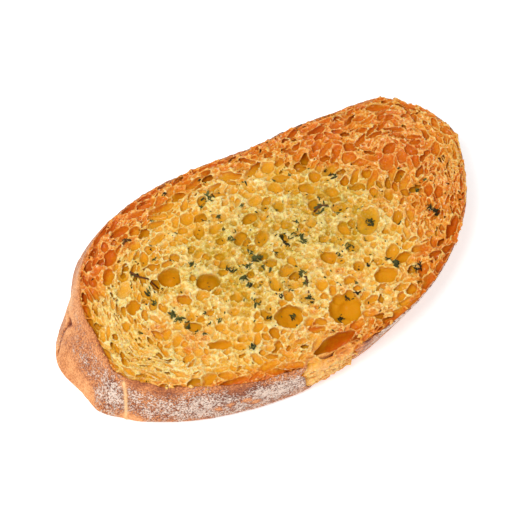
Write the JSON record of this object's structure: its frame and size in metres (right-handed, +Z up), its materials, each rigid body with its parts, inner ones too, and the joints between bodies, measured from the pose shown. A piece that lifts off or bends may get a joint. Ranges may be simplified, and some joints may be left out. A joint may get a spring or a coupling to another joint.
{
  "type": "garlic bread slice",
  "caption": "Toasted slice of crusty loaf, cut on the bias, with an open buttered crumb face, scattered herbs and a floured crust.",
  "frame": {"origin": "middle of the slice's box in plan, at the plane that the underside rests on", "axes": "+X along the slice's length, towards its rounder upper-right end; +Y across it; +Z up out of the buttered cut face"},
  "size_m": [0.1382, 0.0798, 0.0203],
  "materials": {
    "toasted_crumb": "golden toasted bread crumb with melted butter, darker at the rim, with green herb flakes and a tan floured crust"
  },
  "bodies": {
    "root": {"garlic_bread": "toasted_crumb"}
  },
  "joints": []
}
